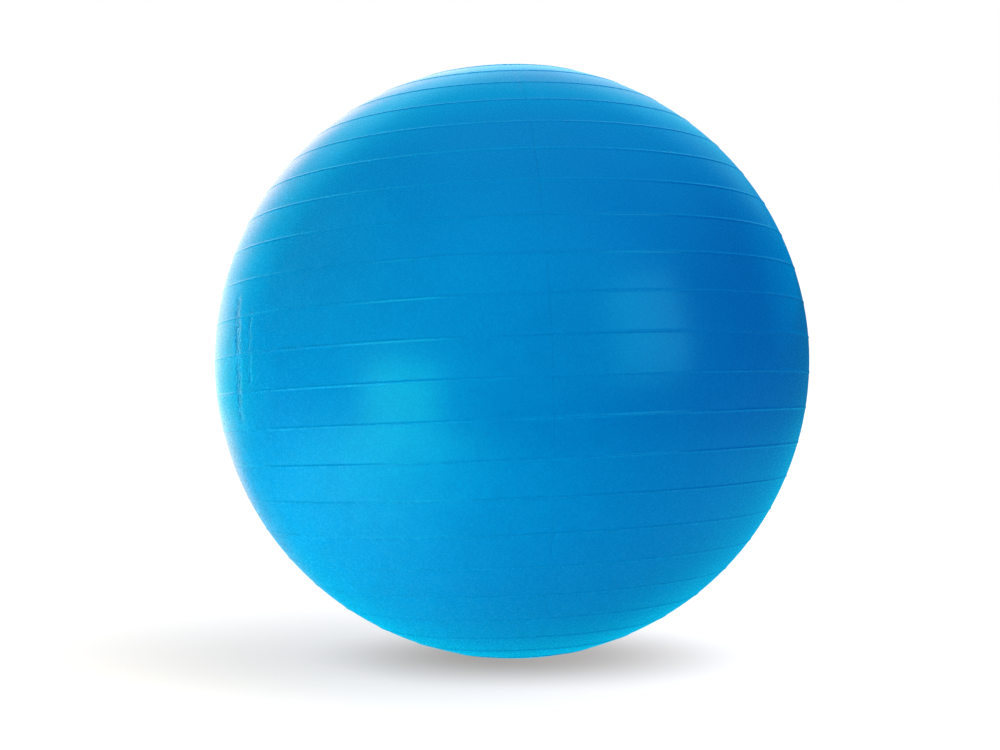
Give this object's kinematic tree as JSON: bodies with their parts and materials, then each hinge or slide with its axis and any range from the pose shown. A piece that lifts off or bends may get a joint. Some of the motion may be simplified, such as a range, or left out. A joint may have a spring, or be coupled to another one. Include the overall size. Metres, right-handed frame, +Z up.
{
  "type": "exercise ball",
  "caption": "Large inflated exercise ball in azure blue vinyl with fine raised grip rings, a flush white air plug in its filling valve, and a small flat where it rests.",
  "frame": {"origin": "centre of the ball", "axes": "+Z up, and -Z through the middle of the round patch that rests on the ground; the moulded axis through the valve leans 12.9 degrees from +Z towards +Y and 2.4 degrees towards -X, as the ball was set down"},
  "size_m": [0.6507, 0.6506, 0.6482],
  "materials": {
    "skin_vinyl": "satin",
    "seat_vinyl": "satin",
    "plug_vinyl": "satin"
  },
  "bodies": {
    "ball": {"ball_skin": "skin_vinyl", "valve_seat": "seat_vinyl"},
    "plug": {"air_plug": "plug_vinyl"}
  },
  "joints": [
    {"name": "plug_pull", "type": "slide", "parent": "ball", "child": "plug", "axis": [-0.0408, 0.2233, 0.9739], "range_m": [0, 0.04]}
  ]
}
